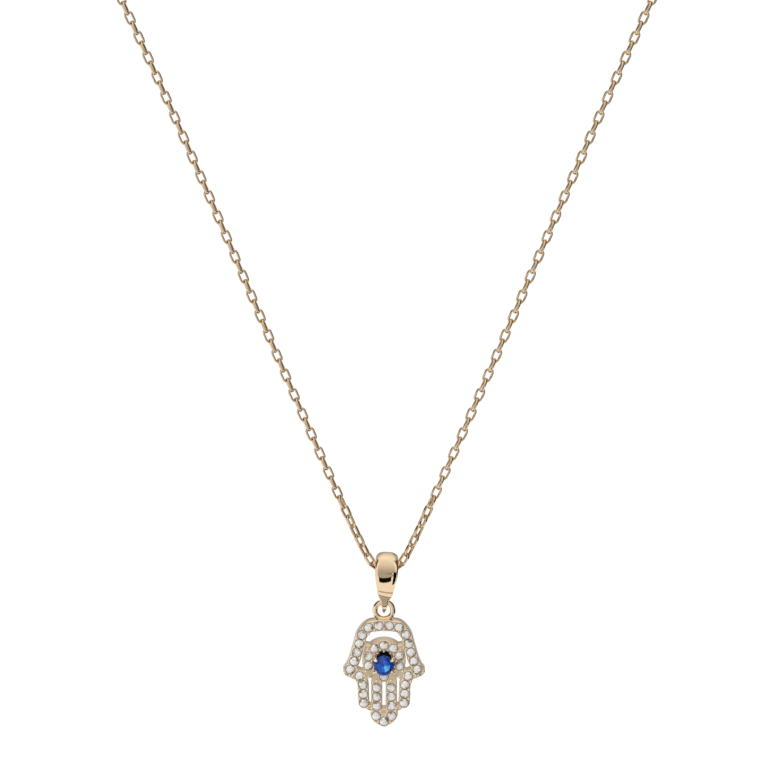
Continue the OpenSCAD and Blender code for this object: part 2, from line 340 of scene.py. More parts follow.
@dataclass(frozen=True)
class GoldFinish:
    """Polished gold: faint swirls of two tints from the polishing mop, fine scratches that vary
    its gloss, and a soft ripple."""

    name: str = "pale_gold"
    light: Colour = (1.0, 0.83, 0.60)
    deep: Colour = (0.97, 0.74, 0.48)
    roughness: float = 0.045
    roughness_range: tuple[float, float] = (0.6, 1.6)
    swirl_scale: float = 900.0
    scratch_scale: float = 5200.0
    ripple: float = 0.0012 * MM
    ripple_strength: float = 0.35

    def material(self) -> bpy.types.Material:
        """Makes the finish, which reads object coordinates.

        Returns:
            The material.
        """
        tree = NodeTree(self.name)
        place = tree.add("TexCoord")
        swirls = tree.add("TexNoise", Scale=self.swirl_scale, Detail=4.0, Roughness=0.6)
        scratches = tree.add("TexNoise", Scale=self.scratch_scale, Detail=2.0, Roughness=0.7)
        tint = tree.add("MixRGB", Color1=(*self.deep, 1.0), Color2=(*self.light, 1.0))
        least, most = self.roughness_range
        shine = tree.add("MapRange", To_Min=self.roughness * least, To_Max=self.roughness * most)
        bump = tree.add("Bump", Strength=self.ripple_strength, Distance=self.ripple)
        for texture in (swirls, scratches):
            tree.join(place.outputs["Object"], texture.inputs["Vector"])
        tree.join(swirls.outputs["Fac"], tint.inputs["Fac"])
        tree.join(scratches.outputs["Fac"], shine.inputs["Value"])
        tree.join(swirls.outputs["Fac"], bump.inputs["Height"])
        tree.join(tint.outputs["Color"], tree.shader.inputs["Base Color"])
        tree.join(shine.outputs["Result"], tree.shader.inputs["Roughness"])
        tree.join(bump.outputs["Normal"], tree.shader.inputs["Normal"])
        tree.shader.inputs["Metallic"].default_value = 1.0
        return tree.material


@dataclass(frozen=True)
class StoneFinish:
    """Cut stone: each facet's tone, with a little of a patchy pattern added, picks a colour from
    dark over mid to bright, as the facets catch different parts of the room."""

    name: str
    dark: Colour
    mid: Colour
    bright: Colour
    index: float
    gloss: float
    patches: float
    patch_scale: float = 2600.0
    dark_until: float = 0.08
    roughness: float = 0.03

    def material(self) -> bpy.types.Material:
        """Makes the finish, which reads the piece's own facet tones.

        Returns:
            The material.
        """
        tree = NodeTree(self.name)
        tone = tree.add("Attribute", attribute_name=TONE)
        place = tree.add("TexCoord")
        patches = tree.add("TexVoronoi", Scale=self.patch_scale)
        blend = tree.add("Math", operation="MULTIPLY_ADD")
        blend.inputs[1].default_value = self.patches
        ramp = tree.add("ValToRGB")
        stops = ramp.color_ramp.elements
        stops[0].color, stops[1].color = (*self.dark, 1.0), (*self.bright, 1.0)
        stops[0].position, stops[1].position = self.dark_until, 1.0
        stops.new(0.5).color = (*self.mid, 1.0)
        tree.join(place.outputs["Object"], patches.inputs["Vector"])
        tree.join(patches.outputs["Color"], blend.inputs[0])
        tree.join(tone.outputs["Fac"], blend.inputs[2])
        tree.join(blend.outputs["Value"], ramp.inputs["Fac"])
        tree.join(ramp.outputs["Color"], tree.shader.inputs["Base Color"])
        tree.shader.inputs["Roughness"].default_value = self.roughness
        tree.shader.inputs["IOR"].default_value = self.index
        tree.shader.inputs["Specular IOR Level"].default_value = self.gloss
        return tree.material


PALE_GOLD = GoldFinish()
# A darker copy of the gold for the bail: its lower roughness and ripple are a smoother polish, its darker
# colour is painted shade.
SMOOTH_SHADED_GOLD = GoldFinish("smooth_shaded_gold", light=(0.84, 0.655, 0.44), deep=(0.80, 0.60, 0.38),
                         roughness=0.022, ripple=0.0001 * MM)
# A lighter copy of the gold for the grains and claws: painted highlight.
HIGHLIGHT_GOLD = GoldFinish("highlight_gold", light=(1.0, 0.92, 0.76), deep=(1.0, 0.84, 0.62), roughness=0.06)
# A darker copy of the gold for the chain: painted shade.
SHADED_CHAIN_GOLD = GoldFinish("shaded_chain_gold", light=(0.84, 0.65, 0.43), deep=(0.68, 0.49, 0.29), roughness=0.06)
# The stones' facets run from dark to bright as painted reflections of the room; the blue stone's hue is its
# own colour.
CLEAR_STONE = StoneFinish("clear_stone", dark=(0.22, 0.17, 0.12), mid=(0.84, 0.81, 0.76),
                          bright=(1.0, 1.0, 1.0), index=2.1, gloss=0.5, patches=0.12)
BLUE_STONE = StoneFinish("blue_stone", dark=(0.002, 0.006, 0.12), mid=(0.004, 0.11, 0.62),
                         bright=(0.14, 0.55, 1.0), index=1.77, gloss=0.25, patches=0.15,
                         patch_scale=1500.0)


@dataclass(frozen=True)
class BrilliantCut:
    """Round brilliant cut, its sizes as shares of the girdle's radius. Turned by the repeat, in
    degrees, it looks the same again."""

    table: float = 0.57
    crown: float = 0.32
    girdle: float = 0.06
    pavilion: float = 0.84
    star: float = 0.50
    lower: float = 0.24
    culet_ring: float = 0.50
    repeat: float = 45.0

    def shape(self) -> tuple[Array, list[list[int]]]:
        """Points and facets of a stone of radius 1, table up.

        Eight table points lie over eight girdle points. The star points between them lie on the
        planes of the kites, so height falls in a straight line from table to girdle with the
        distance along the kite's own direction. The pavilion's points lie likewise on the planes
        from the girdle to the culet.

        Returns:
            Points of shape (n, 3) and a list of facets, the table first.
        """
        on = np.radians(self.repeat * np.arange(8))
        between = on + np.radians(self.repeat / 2)
        half = math.cos(math.radians(self.repeat / 2))
        star_r = self.table + self.star * (1.0 - self.table)
        top, edge = self.crown, self.girdle / 2
        star_z = top + (edge - top) * (star_r * half - self.table) / (1.0 - self.table)
        lower_z = -self.pavilion + (self.pavilion - edge) * self.lower * half

        def ring(angles: Array, radius: float, height: float) -> Array:
            """Points at these angles round the axis."""
            return grid_points(radius * np.cos(angles), radius * np.sin(angles), height)

        around = np.sort(np.concatenate([on, between]))
        points = np.vstack([ring(on, self.table, top), ring(between, star_r, star_z),
                            ring(around, 1.0, edge), ring(around, 1.0, -edge),
                            ring(between, self.lower, lower_z), [[0.0, 0.0, -self.pavilion]]])
        star, rim, low_rim, lower, culet = 8, 16, 32, 48, 56
        facets: list[list[int]] = [list(range(star))]
        for i in range(8):
            before, after = (i + 7) % 8, (i + 1) % 8
            a, b, c = 2 * i, 2 * i + 1, (2 * i + 2) % 16
            facets += [[i, star + i, after], [i, star + before, rim + a, star + i],
                       [star + i, rim + a, rim + b], [star + i, rim + b, rim + c],
                       [rim + a, low_rim + a, low_rim + b, rim + b],
                       [rim + b, low_rim + b, low_rim + c, rim + c],
                       [lower + i, low_rim + b, low_rim + a], [lower + i, low_rim + c, low_rim + b],
                       [culet, lower + i, low_rim + a, lower + before]]
        return points, facets


@dataclass(frozen=True)
class PaintedFacetLights:
    """Limits of the painted reflection tones that a stone's facets draw, from 0 for dark to 1 for bright.

    Around is for the facets round the table and through for the parts of the table. Lobes says
    how much brighter one side of the front is, through the table and round it, a painted
    highlight. Toward is the bearing of that side in degrees from the right, or none for a random one.
    """

    around: tuple[float, float]
    through: tuple[float, float]
    lobes: tuple[float, float]
    toward: float | None = None


class Stone:
    """One cut stone in the place of its solid, with a painted reflection tone for each facet."""

    def __init__(self, node: str, seed: int, turn: float, tones: PaintedFacetLights) -> None:
        """Takes the stone's place and width from its solid.

        Args:
            node: name of the solid.
            seed: start of the random tones.
            turn: how far the stone is turned in its seat, in degrees.
            tones: limits of its tones.
        """
        self.seed, self.turn, self.tones = seed, turn, tones
        low, high = corners(node)
        self.radius = (high[0] - low[0]) / 2
        self.middle = (low + high) / 2
        self.front = low[1]

    def painted_facet_lights(self, middles: Array, parts: int) -> Array:
        """Random tones of painted reflection, raised on one side of the front as a painted
        highlight: with b for a facet's bearing from that side, the tone gains the lobe's share
        times cos b + 0.6 cos 3b.

        Args:
            middles: middles of the facets, table up.
            parts: how many of them, the first ones, are parts of the table.

        Returns:
            A tone for each facet.
        """
        rng = np.random.default_rng(self.seed)
        look = self.tones
        tones = np.concatenate([rng.uniform(*look.through, parts),
                                rng.uniform(*look.around, len(middles) - parts)])
        side = math.radians(rng.uniform(0.0, 360.0) if look.toward is None else look.toward)
        bearing = np.arctan2(middles[:, 1], middles[:, 0]) - side
        share = np.where(np.arange(len(middles)) < parts, *look.lobes)
        tones += share * (np.cos(bearing) + 0.6 * np.cos(3.0 * bearing)) * (middles[:, 2] > 0.0)
        return np.clip(tones, 0.0, 1.0)

    def build(self, cut: BrilliantCut, name: str) -> bpy.types.Object:
        """Makes the stone's mesh, facing -Y.

        The flat table is divided into sixteen parts round its middle, whose painted tones stand for
        the back facets that show through it: an inner ring of triangles and an outer ring of quads.

        Args:
            cut: shape of the facets.
            name: name of the piece.

        Returns:
            The piece.
        """
        points, (table, *rest) = cut.shape()
        middle = points[table].mean(0)
        first, sides = len(points), len(table)
        points = np.vstack([points, middle + (points[table] - middle) * cut.culet_ring, middle])
        after = [(i + 1) % sides for i in range(sides)]
        outer = [[table[i], table[k], first + k, first + i] for i, k in enumerate(after)]
        inner = [[first + i, first + k, first + sides] for i, k in enumerate(after)]
        facets = outer + inner + rest
        points = points @ turn_about(2, math.radians(self.turn)).T
        tones = self.painted_facet_lights(np.array([points[facet].mean(0) for facet in facets]), 2 * sides)
        points = points @ turn_about(0, math.radians(90.0)).T * self.radius
        points += [self.middle[0], self.front + cut.crown * self.radius, self.middle[2]]
        piece = new_mesh(name, points, facets, smooth=False)
        # Each facet's painted reflection tone, which the stone finish turns into its colour.
        layer = piece.data.attributes.new(TONE, "FLOAT", "CORNER")
        layer.data.foreach_set("value", np.repeat(tones, [len(facet) for facet in facets]))
        return piece


@dataclass
class Bar:
    """A band of metal in the hand: a line in the XZ plane, given a half-width and a depth."""

    line: Array
    half_width: float
    front: float
    back: float
    edge: float
    end_steps: int = 8
    edge_steps: int = 4

    def outline(self, half_width: float) -> Array:
        """Closed outline round the line, with half circles round its ends.

        Each point of the line gives one point on its left and one on its right, a half-width
        away along the line's normal. Each end adds points turned from the left to the right.

        Args:
            half_width: distance of the outline from the line.

        Returns:
            Points (x, z), first the left side forwards, then the right side backwards.
        """
        along = unit(np.gradient(self.line, axis=0))
        normal = np.stack([-along[:, 1], along[:, 0]], -1)
        t = np.linspace(0.0, math.pi, self.end_steps + 2)[1:-1, None]
        start = self.line[0] + half_width * (-np.cos(t) * normal[0] - np.sin(t) * along[0])
        end = self.line[-1] + half_width * (np.cos(t) * normal[-1] + np.sin(t) * along[-1])
        left = self.line + half_width * normal
        right = self.line - half_width * normal
        return np.vstack([left, end, right[::-1], start])

    def build(self) -> tuple[Array, Faces]:
        """Closed solid with rounded front edges.

        The outline is drawn several times: from the front face, set in by the edge's radius,
        along a quarter circle to the side wall, and along the wall to the back. The two faces
        are strips of quads between the left and the right side.

        Returns:
            Points and quads.
        """
        inward, deeper = quarter(self.edge, self.edge_steps)
        insets = np.concatenate([inward, deeper])
        depths = np.concatenate([self.front + deeper, self.back - inward])
        rings = [self.outline(self.half_width - inset) for inset in insets]
        rows, cols = len(rings), len(rings[0])
        points = np.zeros((rows, cols, 3))
        points[:, :, [0, 2]] = np.stack(rings)
        points[:, :, 1] = depths[:, None]
        walls = grid_faces(rows, cols, close_rows=False, close_cols=True)
        k = np.arange(cols // 2 - 1)
        shift = self.end_steps // 2
        ahead = (k - shift) % cols
        across = (2 * len(self.line) + self.end_steps - 1 - k + shift) % cols
        cap = np.stack([ahead, (ahead + 1) % cols, (across - 1) % cols, across], -1)
        back_cap = cap[:, ::-1] + (rows - 1) * cols
        return points.reshape(-1, 3), np.vstack([walls, cap, back_cap])


def lathe(profile: Array, middle: Array, turns: int, closed: bool = True) -> tuple[Array, Faces]:
    """Profile turned about an axis along Y.

    Args:
        profile: points (distance from the axis, y) in order, a closed loop if closed is true.
        middle: point (x, z) of the axis.
        turns: steps round the axis.
        closed: whether the profile's last point joins its first.

    Returns:
        Points and quads.
    """
    angle = full_turn(turns)[:, None]
    points = grid_points(middle[0] + profile[:, 0] * np.cos(angle), profile[:, 1],
                         middle[1] + profile[:, 0] * np.sin(angle))
    return points, grid_faces(turns, len(profile), close_rows=True, close_cols=closed)


def tube(line: Array, radius: Array | float, sides: int, closed: bool, up: Array,
         stretch: float = 1.0) -> tuple[Array, Faces]:
    """Tube along a line: each ring's points lie a radius away along turned normals.

    Args:
        line: points of the line.
        radius: the tube's radius, or one for each point.
        sides: points round the tube.
        closed: whether the line's last point joins its first.
        up: a direction that the line is never parallel to.
        stretch: how far the section reaches towards that direction, as a share of the radius.

    Returns:
        Points and quads.
    """
    step = np.roll(line, -1, 0) - np.roll(line, 1, 0) if closed else np.gradient(line, axis=0)
    along = unit(step)
    side = unit(np.cross(up, along))
    top = np.cross(along, side)
    angle = full_turn(sides)[None, :, None]
    radii = np.broadcast_to(np.asarray(radius, float), (len(line),))[:, None, None]
    points = line[:, None] + radii * (np.cos(angle) * side[:, None]
                                      + stretch * np.sin(angle) * top[:, None])
    return points.reshape(-1, 3), grid_faces(len(line), sides, close_rows=closed, close_cols=True)


@dataclass
class Hand:
    """The open hand of soldered gold with its grains, claws and ring, and all its stones.

    The white stones are, in order: seven of the arch, four of the outer and four of the inner
    finger on the right, the same on the left, the one at the tip, and eight round the eye.
    """

    cut: BrilliantCut = BrilliantCut()
    eye_cut: BrilliantCut = BrilliantCut(table=0.60)
    # Painted reflection tones of the white and the blue stones' facets, each raised on one side as a painted
    # highlight.
    white_tones: PaintedFacetLights = PaintedFacetLights(around=(0.14, 1.0), through=(0.40, 1.0), lobes=(0.12, 0.30))
    blue_tones: PaintedFacetLights = PaintedFacetLights(around=(0.0, 0.30), through=(0.36, 0.78),
                                        lobes=(0.32, -0.05), toward=-42.0)
    stone_turn: float = 17.0
    first_seed: int = 40
    stone_d: float = 0.96 * MM
    pitch: float = 1.05 * MM
    seat_gap: float = 0.055 * MM
    seat_slope: float = 0.78
    cutter_front: float = 0.5 * MM
    cutter_back: float = 0.2 * MM
    rim: float = 0.095 * MM
    edge: float = 0.09 * MM
    edge_steps: int = 4
    thickness: float = 1.60 * MM
    hole_d: float = 0.40 * MM
    layer: float = 0.0004 * MM
    eye_inset: float = 0.01 * MM
    eye_step: float = 36.0
    grain_d: float = 0.33 * MM
    grain_range: tuple[float, float] = (0.88, 1.06)
    grain_flat: float = 0.92
    grain_lift: float = 0.03 * MM
    grain_off: float = 0.43
    claw_d: float = 0.32 * MM
    claw_turns: tuple[float, ...] = (38.0, 142.0, -34.0, -146.0)
    gallery_d: float = 0.28 * MM
    post_d: float = 0.26 * MM
    post_lift: float = 0.10 * MM
    post_start: float = 0.1 * MM
    post_reach: float = 0.60
    post_turns: tuple[float, ...] = (-38.0, 0.0, 38.0)
    plate_t: float = 0.45 * MM
    plate_inset: float = 0.02 * MM
    plate_hole_d: float = 1.20 * MM
    ring_wire_d: float = 0.60 * MM
    ring_mid_r: float = 1.00 * MM
    solder: tuple[float, float, float] = (0.86 * MM, 0.46 * MM, 0.24 * MM)
    solder_rise: float = 0.45
    line_steps: int = 8
    sharp: float = 35.0
    white: list[str] = field(default_factory=lambda: [f"white_stone_{i:02d}" for i in range(1, 40)])

    def __post_init__(self) -> None:
        """Reads the places of the stones and the ring from the solids."""
        boxes = [corners(name) for name in self.white]
        self.stones = np.array([(low + high)[[0, 2]] / 2 for low, high in boxes])
        self.face = boxes[0][0][1] + self.cut.crown * self.stone_d / 2
        self.back = self.face + self.thickness
        self.row_r = self.stone_d / 2 + self.seat_gap + self.rim
        eye_top, eye_foot = self.stones[34], self.stones[38]
        self.eye = np.array([eye_top[0], (eye_top[1] + eye_foot[1]) / 2])
        self.eye_r = (eye_top[1] - eye_foot[1]) / 2
        self.ring = joint_place("hamsa_swing")
        low, high = corners("blue_stone")
        self.blue = ((low + high) / 2)[[0, 2]]
        self.blue_r = (high[0] - low[0]) / 2
        self.blue_girdle = low[1] + self.cut.crown * self.blue_r

    def rows(self) -> dict[str, Array]:
        """Lines through the stones of the arch and of each finger.

        Returns:
            Points (x, z) by the row's name.
        """
        right, left, tip = np.split(self.stones, [15, 30, 31])[:3]
        arch_right, outer_right, inner_right = np.split(right, [7, 11])
        arch_left, outer_left, inner_left = np.split(left, [7, 11])
        return {"arch": np.vstack([arch_left[::-1], arch_right]),
                "right_outer": outer_right, "left_outer": outer_left,
                "right_inner": np.vstack([inner_right, tip]),
                "left_inner": np.vstack([inner_left, tip])}

    def webs(self) -> list[tuple[Array, float]]:
        """Short bands that join the rows.

        Each row of the table has two ends (across, up) in pitches from the eye's middle, and a
        half-width as a share of the rows'. It is for the right side, and the left mirrors it.

        Returns:
            Ends (x, z) in metres and the half-width of each.
        """
        right = [((1.55, 1.45), (2.62, 1.60), 0.55), ((1.43, -1.29), (2.61, -1.65), 0.85),
                 ((3.59, -0.93), (3.78, -1.10), 1.0), ((3.78, -1.10), (2.61, -1.65), 1.0),
                 ((2.10, -4.85), (1.50, -5.22), 0.47), ((1.50, -5.22), (0.82, -5.22), 0.47),
                 ((0.78, -1.80), (0.78, -2.94), 1.0), ((0.80, -5.85), (-0.80, -5.85), 0.75),
                 ((0.0, -5.85), (0.0, -6.70), 1.0)]
        return [(np.array([a, b]) * [side, 1.0] * self.pitch + self.eye, width * self.row_r)
                for a, b, width in right for side in (1.0, -1.0)]

    def bars(self) -> list[Bar]:
        """All bands of the hand. Each lies a little deeper than the one before, so that no two
        faces share a plane.

        Returns:
            The bands, ready to build.
        """
        lines = [(smooth_line(row, self.line_steps), self.row_r) for row in self.rows().values()]
        return [Bar(line, width, self.face + self.layer * i, self.back - self.layer * i, self.edge)
                for i, (line, width) in enumerate(lines + self.webs())]

    def eye_ring(self) -> tuple[Array, Faces]:
        """Flat ring round the eye: a rectangle with rounded front edges, turned about the eye.

        Returns:
            Points and quads.
        """
        inward, deeper = quarter(self.edge, self.edge_steps)
        inner, outer = self.eye_r - self.row_r, self.eye_r + self.row_r
        low, high = self.face + self.eye_inset, self.back - self.eye_inset
        profile = np.vstack([np.stack([inner + inward, low + deeper], -1)[::-1],
                             np.stack([outer - inward, low + deeper], -1),
                             [[outer, high], [inner, high]]])
        return lathe(profile, self.eye, turns=120)

    def seats(self, first: int) -> tuple[Array, Faces]:
        """Space for every third white stone: a straight wall at the girdle, a cone under it and
        a hole. Neighbours meet, so they are cut one after the other.

        Args:
            first: number of the first stone.

        Returns:
            Points and quads.
        """
        seat, hole, axis = self.stone_d / 2 + self.seat_gap, self.hole_d / 2, 0.00001 * MM
        low = self.face + self.cut.girdle * self.stone_d / 2 + self.seat_gap
        cone = low + (seat - hole) * self.seat_slope
        front, back = self.face - self.cutter_front, self.back + self.cutter_back
        profile = np.array([[axis, front], [seat, front], [seat, low], [hole, cone], [hole, back],
                            [axis, back]])
        points, faces = lathe(profile, np.zeros(2), turns=28, closed=False)
        stones = self.stones[first::3]
        places = np.stack([stones[:, 0], np.zeros(len(stones)), stones[:, 1]], -1)
        return copies(points, faces, places)

    def grain_places(self) -> Array:
        """Places of the grains: in pairs beside the point midway between neighbouring stones,
        on both sides of the eye's ring, and beyond the ends of the rows. Those last ones are
        given for the right side, in pitches from the eye's middle.

        Returns:
            Points (x, z) in metres.
        """
        places = []
        off = self.grain_off * self.pitch
        rows = self.rows()
        arch = rows["arch"]
        lines = [arch, np.vstack([arch[-1:], rows["right_outer"]]),
                 np.vstack([arch[:1], rows["left_outer"]]), rows["right_inner"], rows["left_inner"]]
        for line in lines:
            middle = (line[1:] + line[:-1]) / 2
            along = unit(line[1:] - line[:-1])
            side = np.stack([-along[:, 1], along[:, 0]], -1) * off
            places += [middle + side, middle - side]
        turns = np.radians(self.eye_step * (np.arange(6) - 2.5))[:, None]
        spokes = np.hstack([np.sin(turns), np.cos(turns)])
        places += [self.eye + spokes * (self.eye_r + off), self.eye + spokes * (self.eye_r - off)]
        ends = np.array([[0.36, -2.40], [1.20, -2.40], [1.72, -5.16], [4.16, -1.20], [3.68, -1.56],
                         [1.62, -1.76], [3.22, -1.42], [1.98, -1.08], [2.10, -1.62], [1.30, -5.22],
                         [0.30, -5.72], [2.10, 1.52], [0.78, -2.10], [1.92, -2.10]]) * self.pitch
        places += [self.eye + ends, self.eye + ends * [-1.0, 1.0]]
        return np.vstack(places)

    def grains(self) -> tuple[Array, Faces]:
        """Small domes raised over the face, each of its own size: points on spheres, flattened
        a little towards the face.

        Returns:
            Points and quads.
        """
        places = self.grain_places()
        rng = np.random.default_rng(7)
        rows, cols = 9, 14
        turn, lift = full_turn(cols)[None, :], np.linspace(0.0, math.pi, rows)[:, None]
        dome = grid_points(np.sin(lift) * np.cos(turn), -np.cos(lift) * self.grain_flat,
                           np.sin(lift) * np.sin(turn))
        sizes = self.grain_d / 2 * rng.uniform(*self.grain_range, len(places))
        turns = np.eye(3)[None] * sizes[:, None, None]
        centres = np.stack([places[:, 0], np.full(len(places), self.face - self.grain_lift),
                            places[:, 1]], -1)
        return copies(dome, grid_faces(rows, cols, close_rows=False, close_cols=True), centres, turns)

    def claws(self) -> list[tuple[Array, Faces]]:
        """Four claws that rise beside the blue stone and bend over its edge. The line of a claw
        is given in millimetres, outwards and backwards from the girdle, and its last stretch is
        rounded off as a half ball.

        Returns:
            Points and quads of each.
        """
        out = self.blue_r + self.seat_gap + self.claw_d / 2
        bend = smooth_line(np.array([[0.0, 0.70], [0.0, 0.30], [0.0, 0.0], [-0.01, -0.10], [-0.08, -0.23],
                                     [-0.20, -0.31], [-0.31, -0.35]]) * MM, 4)
        sizes = np.interp(np.arange(len(bend)), [0, 8, 18, len(bend) - 1], [0.9, 1.0, 1.2, 1.0])
        end = np.linspace(0.0, 1.0, 6)[1:]
        bend = np.vstack([bend, bend[-1] + end[:, None] * [-0.14 * MM, -0.01 * MM]])
        sizes = np.concatenate([sizes, np.sqrt(1.0 - end ** 2)])
        foot = np.array([self.blue[0], self.blue_girdle, self.blue[1]])
        parts = []
        for turn in np.radians(self.claw_turns):
            spoke = np.array([math.cos(turn), 0.0, math.sin(turn)])
            line = foot + (out + bend[:, :1]) * spoke + bend[:, 1:] * [0.0, 1.0, 0.0]
            across = np.cross(spoke, [0.0, 1.0, 0.0])
            parts.append(tube(line, sizes * self.claw_d / 2, sides=16, closed=False, up=across))
        return parts

    def gallery(self) -> list[tuple[Array, Faces]]:
        """Round wire under the blue stone, and three short posts from the eye's ring towards it.

        Returns:
            Points and quads of each.
        """
        middle_r = self.blue_r + self.seat_gap - self.gallery_d
        wire = circle((middle_r, (self.face + self.blue_girdle) / 2), self.gallery_d / 2, 16)
        parts = [lathe(wire, self.blue, turns=72)]
        start = self.eye_r - self.row_r + self.post_start
        reach = np.linspace(start, self.post_reach * self.eye_r, 6)[:, None]
        for turn in np.radians(self.post_turns):
            post = self.eye + reach * np.array([math.sin(turn), math.cos(turn)])
            line = np.stack([post[:, 0], np.full(6, self.face - self.post_lift), post[:, 1]], -1)
            parts.append(tube(line, self.post_d / 2, sides=12, closed=False, up=np.array([0.0, 1.0, 0.0])))
        return parts

    def plate(self) -> tuple[Array, Faces]:
        """Plate that closes the eye at the back: a disc about the eye with a round hole behind
        the blue stone, its walls swept between two circles.

        Returns:
            Points and quads.
        """
        sides = 64
        outer = circle(self.eye, self.eye_r - self.row_r + self.rim / 2, sides)
        inner = circle(self.blue, self.plate_hole_d / 2, sides)
        front, back = self.back - self.plate_t, self.back - self.plate_inset
        points = np.zeros((sides, 4, 3))
        for k, (ring, depth) in enumerate(((outer, front), (outer, back), (inner, back), (inner, front))):
            points[:, k, [0, 2]], points[:, k, 1] = ring, depth
        return points.reshape(-1, 3), grid_faces(sides, 4, close_rows=True, close_cols=True)

    def ring_parts(self) -> list[tuple[Array, Faces]]:
        """The soldered ring, a round wire turned about Y, and the solder that fills its foot, a
        flattened ball.

        Returns:
            Points and quads of each.
        """
        wire = self.ring_wire_d / 2
        ring = lathe(circle((self.ring_mid_r, self.ring[1]), wire, 24), self.ring[[0, 2]], turns=80)
        rows, cols = 13, 32
        turn, lift = full_turn(cols)[None, :], np.linspace(0.0, math.pi, rows)[:, None]
        ball = grid_points(np.sin(lift) * np.cos(turn), np.sin(lift) * np.sin(turn), np.cos(lift))
        foot = self.ring - [0.0, 0.0, self.ring_mid_r + wire * self.solder_rise]
        skin = grid_faces(rows, cols, close_rows=False, close_cols=True)[:, ::-1]
        return [ring, (ball * self.solder + foot, skin)]

    def body_piece(self) -> bpy.types.Object:
        """The hand's metal: all bands and the eye's ring made one, with the seats cut out.

        Returns:
            The piece, not yet dressed.
        """
        bars = [bar.build() for bar in self.bars()]
        body = new_mesh("hand_body", *bars[0], smooth=True)
        parts = bpy.data.collections.new("hand_bands")
        for i, (points, faces) in enumerate(bars[1:] + [self.eye_ring()]):
            band = new_mesh(f"hand_band_{i:02d}", points, faces, smooth=True)
            bpy.context.scene.collection.objects.unlink(band)
            parts.objects.link(band)
        cutters = [new_mesh(f"seat_cutter_{k}", *self.seats(k), smooth=True) for k in range(3)]
        fuse = body.modifiers.new("fuse", "BOOLEAN")
        fuse.operation, fuse.operand_type, fuse.collection = "UNION", "COLLECTION", parts
        fuse.solver = "MANIFOLD"
        for cutter in cutters:
            cut = body.modifiers.new("cut", "BOOLEAN")
            cut.operation, cut.object, cut.solver = "DIFFERENCE", cutter, "MANIFOLD"
        graph = bpy.context.evaluated_depsgraph_get()
        result = bpy.data.meshes.new_from_object(body.evaluated_get(graph))
        body.modifiers.clear()
        body.data = result
        result.name = body.name
        for piece in list(parts.objects) + cutters:
            bpy.data.objects.remove(piece)
        bpy.data.collections.remove(parts)
        sharpen(body, self.sharp)
        return body

    def build(self, gold: bpy.types.Material, bright: bpy.types.Material,
              white: bpy.types.Material, blue: bpy.types.Material) -> None:
        """Makes and dresses every piece of the hand.

        Args:
            gold: finish of the metal.
            bright: finish of the grains and claws, a lighter copy of the gold as painted highlight.
            white: finish of the small stones.
            blue: finish of the stone in the eye.
        """
        settle(self.body_piece(), Body.HAMSA, Slot.GOLD, gold, "hamsa_frame")
        # The grains, claws, gallery and posts take the lighter copy of the gold: painted highlight.
        settle(new_mesh("hand_grains", *self.grains(), smooth=True), Body.HAMSA, Slot.GOLD, bright)
        claws = joined(self.claws() + self.gallery())
        settle(new_mesh("eye_claws", *claws, smooth=True), Body.HAMSA, Slot.GOLD, bright)
        plate = new_mesh("eye_plate", *self.plate(), smooth=True)
        sharpen(plate, self.sharp)
        settle(plate, Body.HAMSA, Slot.GOLD, gold)
        settle(new_mesh("hand_ring", *joined(self.ring_parts()), smooth=True), Body.HAMSA, Slot.GOLD, gold)
        for i, node in enumerate(self.white):
            turn = self.stone_turn * i % self.cut.repeat
            stone = Stone(node, seed=self.first_seed + i, turn=turn, tones=self.white_tones)
            piece = stone.build(self.cut, f"white_brilliant_{i + 1:02d}")
            settle(piece, Body.HAMSA, Slot.WHITE, white, node)
        big = Stone("blue_stone", seed=3, turn=11.0, tones=self.blue_tones)
        settle(big.build(self.eye_cut, "blue_brilliant"), Body.HAMSA, Slot.BLUE, blue, "blue_stone")


